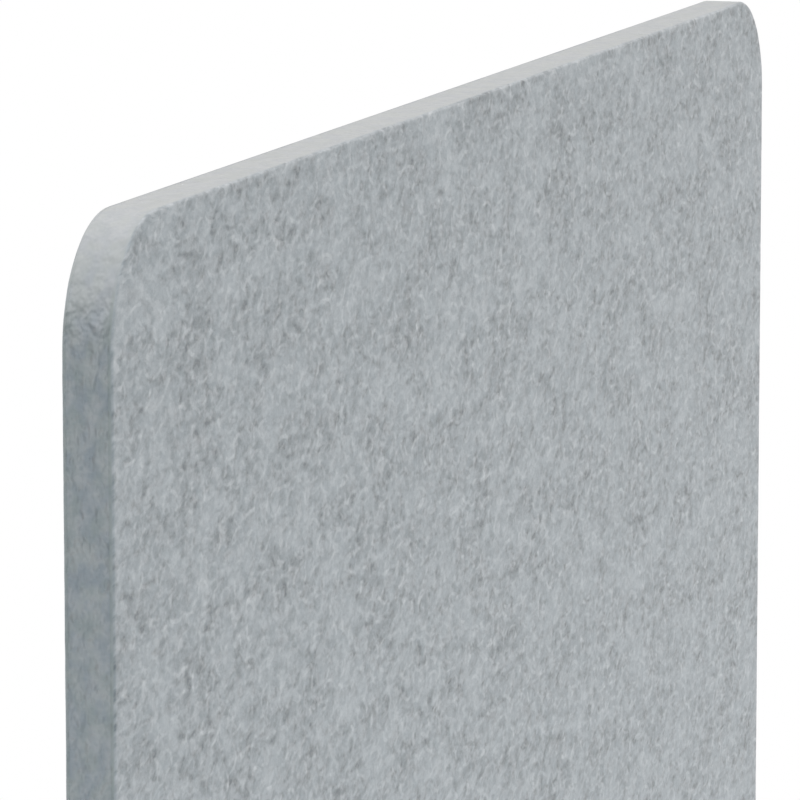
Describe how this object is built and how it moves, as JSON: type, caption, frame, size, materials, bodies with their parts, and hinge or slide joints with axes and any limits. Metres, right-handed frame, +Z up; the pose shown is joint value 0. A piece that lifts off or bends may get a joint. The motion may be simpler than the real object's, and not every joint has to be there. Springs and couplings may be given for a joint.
{
  "type": "acoustic divider screen",
  "caption": "Free-standing acoustic divider screen: thick felt-faced board with round corners on two flat tube feet with a panel channel and levelling glides.",
  "frame": {"origin": "centre of the footprint, on the floor under the four glides", "axes": "+Z up from the floor; +X along the board's width; -Y is the front felt, +Y is the rear felt"},
  "size_m": [1.2, 0.446, 1.4],
  "materials": {
    "felt_facing": "heathered cool grey needled felt, matte",
    "felt_core": "pressed polyester fibre core, matte",
    "coated_steel": "matte",
    "zinc_steel": "satin",
    "cap_plastic": "matte",
    "pad_plastic": "matte",
    "sole_rubber": "matte"
  },
  "bodies": {
    "screen": {"core_board": "felt_core", "front_felt": "felt_facing", "rear_felt": "felt_facing", "left_foot_tube": "coated_steel", "left_front_cap": "cap_plastic", "left_rear_cap": "cap_plastic", "left_channel": "coated_steel", "left_channel_screws": "zinc_steel", "left_channel_nuts": "zinc_steel", "left_bolt_barrels": "zinc_steel", "left_bolt_screws": "zinc_steel", "left_glide_nuts": "zinc_steel", "right_foot_tube": "coated_steel", "right_front_cap": "cap_plastic", "right_rear_cap": "cap_plastic", "right_channel": "coated_steel", "right_channel_screws": "zinc_steel", "right_channel_nuts": "zinc_steel", "right_bolt_barrels": "zinc_steel", "right_bolt_screws": "zinc_steel", "right_glide_nuts": "zinc_steel"},
    "left_front_glide": {"left_front_pad": "pad_plastic", "left_front_sole": "sole_rubber"},
    "left_front_spindle": {"left_front_stem": "zinc_steel"},
    "left_rear_glide": {"left_rear_pad": "pad_plastic", "left_rear_sole": "sole_rubber"},
    "left_rear_spindle": {"left_rear_stem": "zinc_steel"},
    "right_front_glide": {"right_front_pad": "pad_plastic", "right_front_sole": "sole_rubber"},
    "right_front_spindle": {"right_front_stem": "zinc_steel"},
    "right_rear_glide": {"right_rear_pad": "pad_plastic", "right_rear_sole": "sole_rubber"},
    "right_rear_spindle": {"right_rear_stem": "zinc_steel"}
  },
  "joints": [
    {"name": "left_front_level", "type": "slide", "parent": "screen", "child": "left_front_glide", "axis": [0, 0, -1], "range_m": [-0.004, 0.008]},
    {"name": "left_front_turn", "type": "hinge", "parent": "left_front_glide", "child": "left_front_spindle", "pos_m": [-0.43, -0.19, 0.02], "axis": [0, 0, -1], "range_deg": [-1152, 2304]},
    {"name": "left_rear_level", "type": "slide", "parent": "screen", "child": "left_rear_glide", "axis": [0, 0, -1], "range_m": [-0.004, 0.008]},
    {"name": "left_rear_turn", "type": "hinge", "parent": "left_rear_glide", "child": "left_rear_spindle", "pos_m": [-0.43, 0.19, 0.02], "axis": [0, 0, -1], "range_deg": [-1152, 2304]},
    {"name": "right_front_level", "type": "slide", "parent": "screen", "child": "right_front_glide", "axis": [0, 0, -1], "range_m": [-0.004, 0.008]},
    {"name": "right_front_turn", "type": "hinge", "parent": "right_front_glide", "child": "right_front_spindle", "pos_m": [0.43, -0.19, 0.02], "axis": [0, 0, -1], "range_deg": [-1152, 2304]},
    {"name": "right_rear_level", "type": "slide", "parent": "screen", "child": "right_rear_glide", "axis": [0, 0, -1], "range_m": [-0.004, 0.008]},
    {"name": "right_rear_turn", "type": "hinge", "parent": "right_rear_glide", "child": "right_rear_spindle", "pos_m": [0.43, 0.19, 0.02], "axis": [0, 0, -1], "range_deg": [-1152, 2304]}
  ],
  "couplings": [
    {"joint": "left_front_level", "follows": "left_front_turn", "m_per_rad": 0.00019894},
    {"joint": "left_rear_level", "follows": "left_rear_turn", "m_per_rad": 0.00019894},
    {"joint": "right_front_level", "follows": "right_front_turn", "m_per_rad": 0.00019894},
    {"joint": "right_rear_level", "follows": "right_rear_turn", "m_per_rad": 0.00019894}
  ]
}
